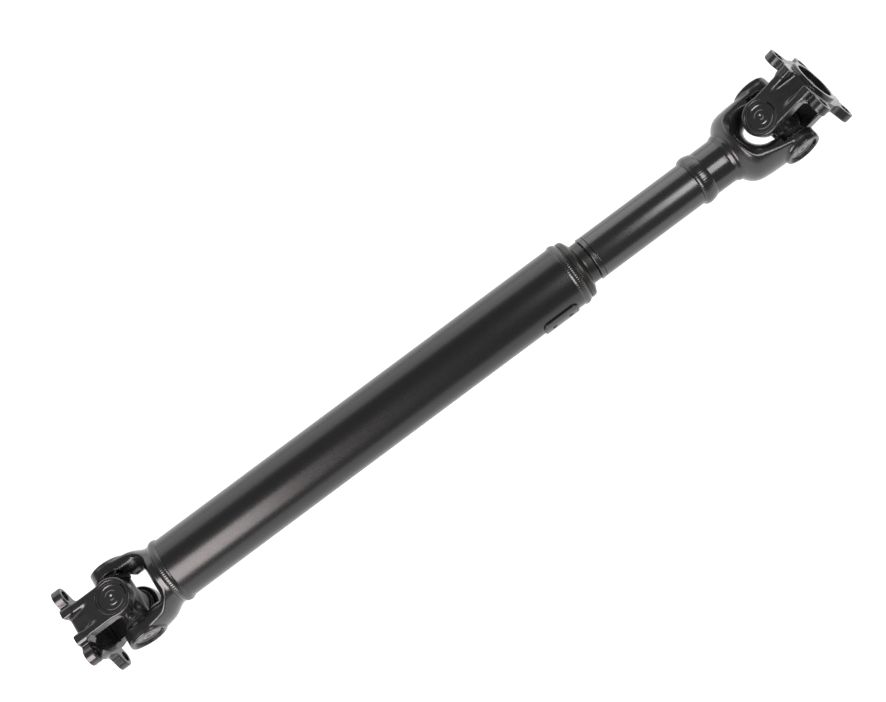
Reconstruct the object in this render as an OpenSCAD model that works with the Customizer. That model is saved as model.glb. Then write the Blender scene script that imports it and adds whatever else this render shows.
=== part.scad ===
// Telescopic propeller shaft with a universal joint at each end.
//
// Frame: the origin is the centre of the front flange's mating face. +X runs
// along the shaft towards the rear flange, and +Z is the axis of the front
// flange yoke's trunnions. The shaft is straight at the front joint, and the
// rear joint is drawn folded by rear_bend. Lengths are in millimetres.

/* [Layout] */
// Distance between the centres of the two crosses, with the slip joint closed
cross_span = 764; // [760:1:800]
// Distance from a flange's mating face to the centre of its cross
flange_reach = 48; // [48:0.5:56]
// Fold of the rear joint, as drawn, in degrees
rear_bend = 30; // [0:1:31]

/* [Universal joint] */
// Outer diameter of a bearing cup
cup_d = 29; // [28:0.5:30]
// Distance across the outer faces of two opposite cups
cup_span = 77; // [76:0.5:78]
// Height of a bearing cup
cup_h = 14; // [13:0.5:15]
// Diameter of a trunnion's journal
journal_d = 18; // [17:0.5:18]
// Diameter of one needle roller
roller_d = 2.5; // [2:0.1:2.5]
// Number of needle rollers in a cup
roller_count = 24; // [18:1:24]
// Length of a needle roller
roller_l = 9.6; // [8:0.1:9.8]

/* [Yoke ears] */
// Radius of the rounded end of an ear
ear_r = 18.4; // [17.6:0.1:18.6]
// Half of an arm's width
arm_w = 17.2; // [15:0.1:17.4]
// Distance from the cross centre to an ear's outer face
ear_out = 40.8; // [40.6:0.1:41.2]
// Distance from the cross centre to an ear's inner face
ear_in = 27.8; // [26.5:0.1:28.5]

/* [Flanges] */
// Thickness of a flange
flange_t = 9.5; // [8:0.1:9.5]
// Pitch circle diameter of the flange bolts
bolt_pcd = 88; // [84:1:92]
// Diameter of a flange bolt hole
bolt_hole_d = 10.5; // [8.5:0.5:11]
// Radius of the rounded end of a bolt lobe
lobe_r = 9.5; // [8.5:0.1:10.5]
// Outer diameter of the centring pilot
pilot_d = 50; // [46:0.5:52]
// Height of the centring pilot on the rear flange
pilot_h = 3; // [2:0.1:4]
// Diameter of the hollow inside the pilot
pilot_bore_d = 41; // [36:0.5:43]

/* [Main tube] */
// Outer diameter of the main tube
tube_d = 63.5; // [60:0.5:66]
// Wall thickness of the main tube
tube_wall = 2.4; // [2:0.1:3]
// Length of the main tube
tube_l = 464; // [440:1:468]
// Length of the balance weight along the tube
weight_l = 39; // [30:1:50]
// Thickness of the balance weight
weight_t = 1.8; // [1.2:0.1:3]

/* [Slip joint] */
// Outer diameter of the collar on the splined stub
collar_d = 61.4; // [56:0.2:62]
// Diameter of the stub's smooth neck
neck_d = 42.4; // [40:0.2:44]
// Outer diameter of the slip sleeve
sleeve_d = 44.8; // [43:0.2:46]
// Major diameter of the splines
spline_d = 35; // [33:0.5:36]
// Depth of a spline tooth
spline_depth = 1.8; // [1.5:0.1:2.2]
// Number of spline teeth
spline_teeth = 16; // [12:1:18]
// Length of the splined part of the stub
spline_l = 100; // [80:1:104]

/* [Hidden] */
$fn = 96;
front_x = flange_reach;               // front cross
rear_x = front_x + cross_span;        // rear cross
cup_r = cup_d / 2;
cup_out = cup_span / 2;
cup_in = cup_out - cup_h;
cup_floor = 2.6;                      // thickness of a cup's closed end
journal_r = journal_d / 2;
roller_r = roller_d / 2;
run_gap = 0.02;                       // running clearance of the rollers
roller_ring = journal_r + roller_r + run_gap;
race_r = roller_ring + roller_r + run_gap;
groove_w = 1.2;                       // snap ring groove
groove_r = cup_r + 1.1;
hub_r = 12.4;                         // shoulders of the cross
hub_out = 20.4;
seal_space_r = 19;                    // room machined round the tube yoke's seals
nipple_space_r = 24;                  // room in the slip yoke for the nipple's sweep
tube_r = tube_d / 2;
tube_in_r = tube_r - tube_wall;
neck_r = tube_r - 0.45;               // round base of the tube yoke
tube_x0 = front_x + 52;
tube_x1 = tube_x0 + tube_l;
weld_gap = 4;                         // root gap of the tube's welds
collar_r = collar_d / 2;
collar_x = tube_x1 + weld_gap;        // front of the stub's collar
stub_neck_x = collar_x + 12.4;
stub_neck_end = stub_neck_x + 8.6;
stub_r = neck_d / 2;
sleeve_r = sleeve_d / 2;
cap_x = stub_neck_end + 0.8;          // dust cap, with the slip joint closed
cap_l = 5;
sleeve_x = cap_x + cap_l + 0.4;
barrel_end = 96.4;                    // slip yoke's barrel, from its cross
sleeve_end = rear_x - barrel_end - 3;
barrel_r = 23.2;
spline_r = spline_d / 2;
spline_gap = 0.06;                    // clearance on every spline flank
bore_r = spline_r + 0.3;
dish_d = 40;                          // hollow in the middle of the front flange

// ---- outlines ----

// Points along an arc about (cx, cy), from angle a0 to angle a1.
function arc(cx, cy, r, a0, a1, n = 8) =
    [for (i = [0:n]) let (a = a0 + (a1 - a0) * i / n) [cx + r * cos(a), cy + r * sin(a)]];

// Radius that eases from r0 at x0 to r1 at x1, as [radius, position] points.
function ease(x0, r0, x1, r1, n = 8) =
    [for (i = [0:n]) let (u = i / n) [r0 + (r1 - r0) * u * u * (3 - 2 * u), x0 + (x1 - x0) * u]];

// ---- placement ----

// Turns a solid drawn about Z so that its axis lies along +X, starting at x.
module along_x(x = 0) { translate([x, 0, 0]) rotate([0, 90, 0]) children(); }

// Spins an outline of [radius, x] points about the X axis.
module spin_x(points) { along_x() rotate_extrude() polygon(points); }

// Places a piece of the front joint drawn about its cross centre.
module at_front() { translate([front_x, 0, 0]) children(); }

// Places a shaft-side piece of the rear joint drawn about its cross centre.
module at_rear() { translate([rear_x, 0, 0]) children(); }

// Places a piece that folds with the rear cross.
module at_rear_folded() { at_rear() rotate([0, -rear_bend, 0]) children(); }

// Turns a piece drawn on the Z trunnions onto the Y trunnions.
module on_y() { rotate([90, 0, 0]) children(); }

// Repeats a piece at both ends of the Z trunnion line.
module both_ends() { for (m = [0, 1]) mirror([0, 0, m]) children(); }

// ---- universal joint, drawn on the Z trunnions about the cross centre ----

// Bearing cup with its closed end up: a turned ring and a centre dimple.
module cup() {
    difference() {
        translate([0, 0, cup_in]) cylinder(r = cup_r, h = cup_h);
        translate([0, 0, cup_in - 1]) cylinder(r = race_r, h = cup_h - cup_floor + 1);
        translate([0, 0, cup_out - 0.6]) difference() {
            cylinder(r = 11.4, h = 1);
            translate([0, 0, -0.5]) cylinder(r = 6.4, h = 2);
        }
        translate([0, 0, cup_out - 1.2]) cylinder(r = 1.8, h = 2, $fn = 32);
    }
}

// Snap rings of two opposite ears, each an open flat ring.
module snap_rings() {
    both_ends() translate([0, 0, cup_out]) difference() {
        cylinder(r = groove_r - 0.1, h = groove_w - 0.05);
        translate([0, 0, -1]) cylinder(r = cup_r - 1.4, h = groove_w + 2);
        translate([5, -5, -1]) cube([15, 10, groove_w + 2]);
    }
}

// Needle rollers of two opposite cups.
module rollers() {
    both_ends() for (i = [0:roller_count - 1]) rotate([0, 0, 360 * i / roller_count])
        translate([roller_ring, 0, cup_out - cup_floor - 0.25 - roller_l])
            cylinder(r = roller_r, h = roller_l, $fn = 24);
}

// Spider: four journals on a forged hub, cross-drilled for grease.
module spider() {
    difference() {
        union() {
            for (t = [0, 90]) rotate([t, 0, 0]) {
                cylinder(r = hub_r, h = 2 * hub_out, center = true);
                cylinder(r = journal_r, h = 2 * (cup_out - cup_floor - 0.1), center = true);
            }
            rotate([45, 0, 0]) cube([21, 28.4, 28.4], center = true);
            rotate([45, 0, 0]) cylinder(r = 5.6, h = 19);
        }
        for (t = [0, 90]) rotate([t, 0, 0])
            cylinder(r = 2.2, h = 80, center = true, $fn = 32);
        rotate([45, 0, 0]) translate([0, 0, 4]) cylinder(r = 2.6, h = 20, $fn = 32);
        rotate([45, 0, 0]) translate([0, 0, 19]) cylinder(r = 4.6, h = 8);
    }
}

// Lip seals at the roots of the four journals.
module lip_seals() {
    for (t = [0, 90]) rotate([t, 0, 0]) both_ends() translate([0, 0, hub_out])
        rotate_extrude() polygon([[journal_r, 0], [12.9, 0], [13.8, 0.7], [13.8, 1.5],
            [13.3, 1.9], [14.3, 2.6], [14.3, 3.4], [journal_r, 3.4]]);
}

// Grease nipple in the crotch between two trunnions.
module nipple() {
    rotate([45, 0, 0]) {
        translate([0, 0, 12]) cylinder(r = 2.5, h = 7, $fn = 32);
        translate([0, 0, 19]) cylinder(r = 3.9, h = 3.6, $fn = 6);
        rotate_extrude($fn = 48) polygon(concat([[0, 22], [2.7, 22], [2.7, 23.4], [1.7, 24.4],
            [1.7, 25.4]], arc(0, 27, 2.2, -40, 90, 6)));
    }
}

// Bores and snap ring grooves of two opposite ears.
module ear_bores() {
    cylinder(r = cup_r, h = 100, center = true);
    both_ends() translate([0, 0, cup_out]) cylinder(r = groove_r, h = groove_w);
    both_ends() translate([0, 0, ear_out - 0.6]) cylinder(r1 = cup_r, r2 = cup_r + 0.7, h = 0.7);
}

// Raised bosses of two opposite ears.
module ear_bosses() {
    both_ends() translate([0, 0, ear_in]) cylinder(r = ear_r, h = ear_out - ear_in);
}

// ---- flange yokes: trunnions along Z, mating face at x = -flange_reach ----

// Flange outline, with the arms' sides along X.
module flange_outline() {
    circle(r = 31);
    intersection() {
        circle(r = 42.5);
        square([90, 2 * arm_w + 3], center = true);
    }
    for (a = [45:90:315]) rotate(a) {
        translate([bolt_pcd / 2, 0]) circle(r = lobe_r, $fn = 64);
        translate([0, -lobe_r + 0.1]) square([bolt_pcd / 2, 2 * lobe_r - 0.2]);
    }
}

// Side of one arm: flat outside, its root eased into the flange inside.
module arm_side() {
    polygon(concat([[1 - flange_reach, 22.5], [flange_t - 0.2 - flange_reach, 22.5]],
        arc(flange_t + 10 - flange_reach, ear_in - 5, 10, 180, 120, 5),
        [[flange_t + 12 - flange_reach, ear_in], [0, ear_in], [0, ear_out],
        [1 - flange_reach, ear_out]]));
}

module flange_yoke() {
    difference() {
        union() {
            along_x(-flange_reach) linear_extrude(height = flange_t) flange_outline();
            both_ends() {
                translate([0, arm_w, 0]) rotate([90, 0, 0])
                    linear_extrude(height = 2 * arm_w) arm_side();
                translate([1 - flange_reach, -arm_w - 1.4, 22.6])
                    cube([flange_t + 3, 2 * arm_w + 2.8, ear_out - 24.4]);
            }
            ear_bosses();
        }
        ear_bores();
        // relief between the two ribs at the root of each arm
        both_ends() translate([24.6 - flange_reach, -8.8, ear_out]) rotate([0, -29, 0])
            translate([-60, 0, 0]) cube([60, 17.6, 30]);
        for (a = [45:90:315]) rotate([a, 0, 0]) translate([0, 0, bolt_pcd / 2])
            rotate([0, 90, 0]) cylinder(d = bolt_hole_d, h = 150, center = true);
    }
}

// ---- shaft-side yokes: trunnions along Z, shaft towards +X ----

// Sides of the arms: arm_w at the ears, wide before they flare to a round base at x.
module arm_plan(x, flare, wide, length) {
    circle(r = ear_r);
    polygon(concat([[0, -arm_w]], arc(x - flare, -wide - flare, flare, 90, 0),
        [[x, -60], [length, -60], [length, 60], [x, 60]],
        arc(x - flare, wide + flare, flare, 0, -90), [[0, arm_w]]));
}

// Opening between the arms, with its end at x and corners of radius r.
module throat(x, r) {
    rotate([90, 0, 0]) linear_extrude(height = 100, center = true)
        polygon(concat([[-30, -ear_in]], arc(x - r, r - ear_in, r, -90, 0),
            arc(x - r, ear_in - r, r, 0, 90), [[-30, ear_in]]));
}

// Rolled inner surface of a throat: it swells by rise at the parting plane and is flat
// at a distance of wide from it.
module crest(x, r, rise, wide) {
    swell_r = (pow(rise, 2) + pow(wide, 2)) / (2 * rise);
    out = swell_r - rise;
    web = ear_in - r;
    if (web > 1) {
        translate([x + out, 0, -web]) cylinder(r = swell_r, h = 2 * web);
        both_ends() {
            translate([0, 0, ear_in + out]) rotate([0, 90, 0])
                cylinder(r = swell_r, h = x - r);
            translate([x - r, 0, web]) rotate([90, 0, 0]) rotate_extrude(angle = 90)
                translate([r + out, 0]) circle(r = swell_r);
        }
    } else translate([x - r, 0, 0]) rotate([90, -90, 0]) rotate_extrude(angle = 180)
        translate([r + out, 0]) circle(r = swell_r);
}

// A fork whose outside is spun from an outline of [radius, x] points.
module fork(outline, base_x, flare, wide, length, throat_x, throat_r, rise, room) {
    difference() {
        union() {
            intersection() {
                spin_x(outline);
                linear_extrude(height = 100, center = true) arm_plan(base_x, flare, wide, length);
            }
            ear_bosses();
        }
        difference() {
            throat(throat_x, throat_r);
            crest(throat_x, throat_r, rise, wide);
        }
        cylinder(r = room, h = 2 * ear_in, center = true);
        ear_bores();
    }
}

module tube_yoke_body() {
    difference() {
        fork(concat([[0, -22], [41.4, -22]], ease(8, 41.4, 27, 38.6, 5),
            ease(28, 38.3, 42, neck_r, 9), [[neck_r, 43.4], [neck_r - 0.7, 43.6],
            [neck_r - 0.7, 44.2], [neck_r, 44.4], [neck_r, 48], [tube_in_r, 48],
            [tube_in_r, 70], [tube_in_r - 1.5, 72], [0, 72]]), 38, 14, arm_w, 73, 40, 13, 10,
            seal_space_r);
        along_x(54) cylinder(r = tube_in_r - 6, h = 30);
    }
}

module slip_yoke_body() {
    difference() {
        fork(concat([[0, -22], [38.4, -22]], ease(20, 38.4, 44, 37.1, 4),
            [[36, 47.4], [34.4, 50], [32.4, 52.4], [29.6, 54.8], [26.8, 57], [25.2, 58.2],
            [25.4, 59.2], [25.3, 61.4], [24.2, 62.7],
            [barrel_r, 63.6], [barrel_r, barrel_end], [0, barrel_end]]),
            54, 18, arm_w + 7.5, 98, 47.6, ear_in - 0.1, 13, nipple_space_r);
        along_x(60) cylinder(r = bore_r, h = 40);
    }
}

// ---- splines ----

// Section of the splined stub; grow adds the clearance of the sleeve.
module spline_section(grow) {
    circle(r = spline_r - spline_depth + grow);
    intersection() {
        circle(r = spline_r + grow);
        for (i = [0:spline_teeth - 1]) rotate(360 * i / spline_teeth)
            translate([2, -1.6 - grow]) square([spline_r, 3.2 + 2 * grow]);
    }
}

// Weld bead between two round parts of radius r0 and r1: its crown runs from
// x0 to x1, and its root fills the gap from g0 to g1 down to radius root.
module bead(x0, r0, x1, r1, crown, g0, g1, root, skew = 1) {
    spin_x(concat([[root, g0], [r0, g0], [r0, x0]],
        [for (i = [1:11]) let (u = i / 12) [r0 + (r1 - r0) * u + crown * sin(180 * pow(u, skew)),
            x0 + (x1 - x0) * u]],
        [[r1, x1], [r1, g1], [root, g1]]));
}

// ---- the nodes ----

module main_tube() {
    color("#2a2a2d") along_x(tube_x0) difference() {
        cylinder(r = tube_r, h = tube_l);
        translate([0, 0, -1]) cylinder(r = tube_in_r, h = tube_l + 2);
    }
}

module tube_yoke() { color("#38383b") at_front() on_y() tube_yoke_body(); }

module front_weld() {
    color("#303033") bead(front_x + 45.5, neck_r, front_x + 55, tube_r, 2,
        front_x + 48, tube_x0, tube_in_r);
}

module splined_stub() {
    color("#343437") difference() {
        union() {
            spin_x(concat([[0, collar_x - 24], [tube_in_r - 1.5, collar_x - 24],
                [tube_in_r, collar_x - 22], [tube_in_r, collar_x], [collar_r, collar_x],
                [collar_r, collar_x + 2.4], [collar_r - 0.8, collar_x + 2.6],
                [collar_r - 0.8, collar_x + 3.3], [collar_r, collar_x + 3.6]],
                [for (p = arc(collar_x + 7.6, collar_r - 4.4, 4.4, 90, 12, 6)) [p[1], p[0]]],
                [[stub_r + 1.2, stub_neck_x], [stub_r, stub_neck_x + 1.2],
                [stub_r, stub_neck_end], [0, stub_neck_end]]));
            along_x(stub_neck_end - 1) linear_extrude(height = spline_l + 1) spline_section(0);
        }
        along_x(collar_x - 25) cylinder(r = tube_in_r - 6, h = 19);
    }
}

module rear_weld() {
    color("#303033") bead(tube_x1 - 2.3, tube_r, collar_x + 2.3, collar_r, 1.6,
        tube_x1, collar_x, tube_in_r);
}

// Curved plate with round corners, projection-welded under the tube.
module balance_weight() {
    color("#38383b") difference() {
        intersection() {
            along_x(tube_x1 - 49) cylinder(r = tube_r + weight_t, h = weight_l);
            translate([tube_x1 - 49, -30, 0]) rotate([90, 0, 0]) linear_extrude(height = 8)
                for (x = [5.5, weight_l - 5.5]) {
                    for (z = [-5.5, 5.5]) translate([x, z]) circle(r = 5.5, $fn = 48);
                    translate([0, -5.5]) square([weight_l, 11]);
                    translate([5.5, -11]) square([weight_l - 11, 22]);
                }
        }
        along_x(tube_x1 - 60) cylinder(r = tube_r, h = 70);
        for (x = [10, weight_l - 10]) translate([tube_x1 - 49 + x, -tube_r - weight_t - 1, 0])
            rotate([-90, 0, 0]) cylinder(r = 2.6, h = 1.7, $fn = 32);
    }
}

module front_shaft_cup_left() { color("#4a4a4c") at_front() on_y() mirror([0, 0, 1]) cup(); }
module front_shaft_cup_right() { color("#4a4a4c") at_front() on_y() cup(); }
module front_shaft_snap_rings() { color("#2c2c2e") at_front() on_y() snap_rings(); }
module front_shaft_rollers() { color("#b8b8b8") at_front() on_y() rollers(); }

module front_cross() { color("#3c3c3e") at_front() spider(); }
module front_cross_seals() { color("#1e1e1e") at_front() lip_seals(); }
module front_grease_nipple() { color("#8a8a80") at_front() nipple(); }

module front_flange_yoke() {
    color("#3a3a3d") at_front() difference() {
        flange_yoke();
        along_x(-flange_reach - 1) cylinder(d = pilot_d + 0.1, h = pilot_h + 1);
        along_x(-flange_reach - 1) cylinder(d = dish_d, h = pilot_h + 4);
    }
}

module front_flange_cup_upper() { color("#4a4a4c") at_front() cup(); }
module front_flange_cup_lower() { color("#4a4a4c") at_front() mirror([0, 0, 1]) cup(); }
module front_flange_snap_rings() { color("#2c2c2e") at_front() snap_rings(); }
module front_flange_rollers() { color("#b8b8b8") at_front() rollers(); }

// Sleeve with internal splines and a counterbored nose for the seal.
module slip_sleeve() {
    color("#26262a") difference() {
        union() {
            along_x(sleeve_x) cylinder(r = sleeve_r, h = sleeve_end - sleeve_x);
            along_x(cap_x + 1.4) cylinder(r = sleeve_r - 1.2, h = 10);
        }
        along_x(cap_x) linear_extrude(height = 103) spline_section(spline_gap);
        along_x(cap_x + 102) cylinder(r = bore_r, h = sleeve_end);
        along_x(cap_x) cylinder(r = sleeve_r - 2.8, h = cap_l + 0.4);
    }
}

module dust_cap() {
    color("#222224") along_x(cap_x) difference() {
        cylinder(r = sleeve_r + 0.2, h = cap_l);
        translate([0, 0, -1]) cylinder(r = spline_r + 0.9, h = 10);
        translate([0, 0, 1.4]) cylinder(r = sleeve_r - 1.2, h = 10);
    }
}

module dust_seal() {
    color("#1c1c1a") along_x(cap_x + 1.4) difference() {
        cylinder(r = sleeve_r - 2.8, h = 4);
        translate([0, 0, -1]) cylinder(r = spline_r + 0.3, h = 6);
    }
}

module neck_weld() {
    color("#303033") bead(sleeve_end - 2, sleeve_r, sleeve_end + 13, barrel_r, 3,
        sleeve_end, sleeve_end + 3, bore_r, 0.65);
}

module slip_yoke() { color("#38383b") at_rear() rotate([0, 0, 180]) on_y() slip_yoke_body(); }

// Pressed plug that closes the bore behind the rear joint.
module sleeve_plug() {
    color("#6a6a66") along_x(rear_x - 64.5) difference() {
        cylinder(r = bore_r, h = 4.5);
        translate([0, 0, -1]) cylinder(r = bore_r - 1.6, h = 3.9);
    }
}

module rear_shaft_cup_left() { color("#4a4a4c") at_rear() on_y() mirror([0, 0, 1]) cup(); }
module rear_shaft_cup_right() { color("#4a4a4c") at_rear() on_y() cup(); }
module rear_shaft_snap_rings() { color("#2c2c2e") at_rear() on_y() snap_rings(); }
module rear_shaft_rollers() { color("#b8b8b8") at_rear() on_y() rollers(); }

module rear_cross() { color("#3c3c3e") at_rear_folded() spider(); }
module rear_cross_seals() { color("#1e1e1e") at_rear_folded() lip_seals(); }
module rear_grease_nipple() { color("#8a8a80") at_rear_folded() nipple(); }

module rear_flange_yoke() {
    color("#3a3a3d") at_rear_folded() rotate([0, 0, 180]) difference() {
        union() {
            flange_yoke();
            along_x(-flange_reach - pilot_h) cylinder(d = pilot_d, h = pilot_h + 2);
        }
        along_x(-flange_reach - pilot_h - 1) cylinder(d = pilot_bore_d, h = pilot_h + 6.5);
    }
}

module rear_flange_cup_upper() { color("#4a4a4c") at_rear_folded() cup(); }
module rear_flange_cup_lower() { color("#4a4a4c") at_rear_folded() mirror([0, 0, 1]) cup(); }
module rear_flange_snap_rings() { color("#2c2c2e") at_rear_folded() snap_rings(); }
module rear_flange_rollers() { color("#b8b8b8") at_rear_folded() rollers(); }

main_tube();
tube_yoke();
front_weld();
splined_stub();
rear_weld();
balance_weight();
front_shaft_cup_left();
front_shaft_cup_right();
front_shaft_snap_rings();
front_shaft_rollers();
front_cross();
front_cross_seals();
front_grease_nipple();
front_flange_yoke();
front_flange_cup_upper();
front_flange_cup_lower();
front_flange_snap_rings();
front_flange_rollers();
slip_sleeve();
dust_cap();
dust_seal();
neck_weld();
slip_yoke();
sleeve_plug();
rear_shaft_cup_left();
rear_shaft_cup_right();
rear_shaft_snap_rings();
rear_shaft_rollers();
rear_cross();
rear_cross_seals();
rear_grease_nipple();
rear_flange_yoke();
rear_flange_cup_upper();
rear_flange_cup_lower();
rear_flange_snap_rings();
rear_flange_rollers();
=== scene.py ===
"""Looks of the telescopic joint shaft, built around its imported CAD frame.

Shapes are worked out in millimetres about a joint's centre or along the shaft, and each
mesh is then written in metres in the row frame: +X along the shaft from the front flange
to the rear one, +Z along the front flange yoke's trunnions.
"""

import logging
import math
from dataclasses import dataclass, field
from enum import Enum
from typing import Callable, Dict, List, Optional, Sequence, Tuple

import bpy
import numpy as np
from mathutils import Matrix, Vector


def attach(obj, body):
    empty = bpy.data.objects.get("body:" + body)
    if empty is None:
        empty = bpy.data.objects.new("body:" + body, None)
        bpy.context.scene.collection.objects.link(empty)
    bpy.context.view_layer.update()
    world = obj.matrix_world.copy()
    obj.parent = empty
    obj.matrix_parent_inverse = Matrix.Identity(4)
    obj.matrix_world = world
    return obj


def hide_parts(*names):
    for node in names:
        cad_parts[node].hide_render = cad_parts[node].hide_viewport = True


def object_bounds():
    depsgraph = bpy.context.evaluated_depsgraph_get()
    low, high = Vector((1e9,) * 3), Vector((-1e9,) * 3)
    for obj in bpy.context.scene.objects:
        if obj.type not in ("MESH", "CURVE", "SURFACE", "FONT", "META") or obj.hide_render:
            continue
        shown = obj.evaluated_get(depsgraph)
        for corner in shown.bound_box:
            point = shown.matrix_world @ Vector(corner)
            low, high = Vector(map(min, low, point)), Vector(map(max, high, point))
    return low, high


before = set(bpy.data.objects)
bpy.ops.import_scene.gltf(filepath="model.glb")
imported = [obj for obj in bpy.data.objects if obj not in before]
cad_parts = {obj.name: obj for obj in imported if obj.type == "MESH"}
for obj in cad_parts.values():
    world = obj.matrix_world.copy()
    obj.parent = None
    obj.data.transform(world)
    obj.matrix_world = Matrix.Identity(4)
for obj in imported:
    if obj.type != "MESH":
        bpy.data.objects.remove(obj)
CAD_BOX = [list(corner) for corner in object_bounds()]

logging.basicConfig(level=logging.INFO, format="%(name)s: %(message)s")
LOG = logging.getLogger("shaft")

Array = np.ndarray
Field = Callable[[Array, Array, Array], Array]
MM = 0.001

# Layout shared by every sub-assembly, in millimetres, as in the CAD source.
FRONT_X = 48.0
REAR_X = 812.0
FOLD_DEG = 30.0
REACH = 48.0
EAR_IN, EAR_OUT = 27.8, 40.8
CUP_R, CUP_IN, CUP_OUT = 14.5, 24.5, 38.5
TUBE_R = 31.75


# ---------------------------------------------------------------- placement


def rotation(axis: str, degrees: float) -> Array:
    """Rotation matrix about one of the row frame's axes.

    Args:
        axis: "x", "y" or "z".
        degrees: The turn by the right-hand rule.

    Returns:
        A 3 by 3 matrix.
    """
    c, s = math.cos(math.radians(degrees)), math.sin(math.radians(degrees))
    table = {
        "x": [[1, 0, 0], [0, c, -s], [0, s, c]],
        "y": [[c, 0, s], [0, 1, 0], [-s, 0, c]],
        "z": [[c, -s, 0], [s, c, 0], [0, 0, 1]],
    }
    return np.array(table[axis], float)


@dataclass(frozen=True)
class Placement:
    """A rigid move from a piece's own millimetres to the row frame's metres."""

    turn: Array
    shift: Tuple[float, float, float]

    def apply(self, points: Array) -> Array:
        """Points in millimetres moved to metres in the row frame."""
        return (points @ self.turn.T + np.array(self.shift)) * MM

    def aim(self, normals: Array) -> Array:
        """Directions turned into the row frame."""
        return normals @ self.turn.T

    def then(self, turn: Array) -> "Placement":
        """The same place, with the piece first turned by another matrix."""
        return Placement(self.turn @ turn, self.shift)


ALONG = Placement(np.eye(3), (0.0, 0.0, 0.0))
ON_Y = rotation("x", 90)
FRONT = Placement(np.eye(3), (FRONT_X, 0.0, 0.0))
REAR = Placement(np.eye(3), (REAR_X, 0.0, 0.0))
REAR_FOLDED = Placement(rotation("y", -FOLD_DEG), (REAR_X, 0.0, 0.0))


# ---------------------------------------------------------------- surfaces


@dataclass
class Shell:
    """Vertices, faces and, where known, exact normals of one surface, in millimetres."""

    points: Array
    faces: List[Sequence[int]]
    normals: Optional[Array] = None

    def moved(self, place: Placement) -> "Shell":
        """The shell in the row frame, in metres."""
        aimed = None if self.normals is None else place.aim(self.normals)
        return Shell(place.apply(self.points), self.faces, aimed)


def joined(shells: Sequence[Shell]) -> Shell:
    """Several shells as one.

    Args:
        shells: Shells in the same units, without exact normals.

    Returns:
        One shell with every face renumbered.
    """
    starts = np.cumsum([0] + [len(s.points) for s in shells])
    faces = [tuple(i + int(n) for i in f) for s, n in zip(shells, starts) for f in s.faces]
    return Shell(np.vstack([s.points for s in shells]), faces)


def filleted(corners: Sequence[Tuple[float, float, float]], steps: int = 5) -> Array:
    """An outline whose corners are rounded by arcs.

    Each corner is cut back by radius / tan(half its angle) along both sides, and the arc
    between is a quadratic through the corner, close to a circle at these small radii.

    Args:
        corners: (along, radius, fillet) for each corner, in order.
        steps: Segments in each arc.

    Returns:
        Points of the outline, one row each.
    """
    c = np.array([p[:2] for p in corners], float)
    out = [c[:1]]
    for i in range(1, len(c) - 1):
        back, ahead = c[i - 1] - c[i], c[i + 1] - c[i]
        lb, la = np.linalg.norm(back), np.linalg.norm(ahead)
        cosine = np.clip(back @ ahead / (lb * la), -1, 1)
        reach = corners[i][2] / max(math.tan(math.acos(cosine) / 2), 1e-3)
        reach = min(reach, 0.48 * lb, 0.48 * la)
        if corners[i][2] <= 0 or reach < 1e-4:
            out.append(c[i : i + 1])
            continue
        t = np.linspace(0, 1, steps + 1)[:, None]
        start, end = c[i] + back / lb * reach, c[i] + ahead / la * reach
        out.append((1 - t) ** 2 * start + 2 * t * (1 - t) * c[i] + t**2 * end)
    out.append(c[-1:])
    return np.vstack(out)


def turned(
    outline: Array,
    segments: int,
    closed: bool = False,
    lift: Optional[Callable[[Array, Array], Array]] = None,
    hexagon: Optional[Array] = None,
) -> Shell:
    """A surface of revolution about the X axis.

    point(i, t) = (x_i, R cos t, R sin t), with R = r_i + lift(i, t), and on a hexagonal
    row R is divided by cos of t's distance from the middle of its flat.

    Args:
        outline: (x, radius) rows, running so that the solid lies on their right.
        segments: Steps round the axis.
        closed: Whether the outline joins its own start, as a ring's section does.
        lift: Extra radius for each row and angle.
        hexagon: True for each row that is hexagonal instead of round.

    Returns:
        The shell, with a single vertex at each pole.
    """
    t = np.arange(segments) * (2 * np.pi / segments)
    x, r = outline[:, :1], outline[:, 1:2]
    radius = r + np.zeros((1, segments))
    if lift is not None:
        radius = radius + lift(np.arange(len(outline))[:, None], t[None, :])
    if hexagon is not None:
        flat = np.cos((t + np.pi / 6) % (np.pi / 3) - np.pi / 6)
        radius = np.where(hexagon[:, None], radius / flat[None, :], radius)
    grid = np.stack([x + 0 * radius, radius * np.cos(t), radius * np.sin(t)], -1)
    rows = len(outline)
    index = np.arange(rows * segments).reshape(rows, segments)
    poles = (outline[:, 1] < 1e-6) & (not closed)
    index[poles] = index[poles][:, :1]
    upper = np.roll(index, -1, 0) if closed else index[1:]
    lower = index if closed else index[:-1]
    quads = np.stack([lower, upper, np.roll(upper, -1, 1), np.roll(lower, -1, 1)], -1)
    faces = [tuple(dict.fromkeys(q)) for q in quads.reshape(-1, 4).tolist()]
    corners = np.concatenate([np.array(f) for f in faces])
    used, compact = np.unique(corners, return_inverse=True)
    ends = np.cumsum([len(f) for f in faces])[:-1]
    faces = [tuple(f.tolist()) for f in np.split(compact, ends)]
    return Shell(grid.reshape(-1, 3)[used], faces)


def lathed(
    corners: Sequence[Tuple[float, float, float]],
    segments: int,
    steps: int = 5,
    closed: bool = True,
) -> Shell:
    """A surface of revolution about the X axis from an outline with filleted corners.

    Args:
        corners: (x, radius, fillet) for each corner, so that the solid lies on their left.
        segments: Steps round the axis.
        steps: Segments in each fillet.
        closed: Whether the outline joins its own start, as a ring's section does.

    Returns:
        The shell.
    """
    return turned(filleted(corners, steps)[::-1], segments, closed)


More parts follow.
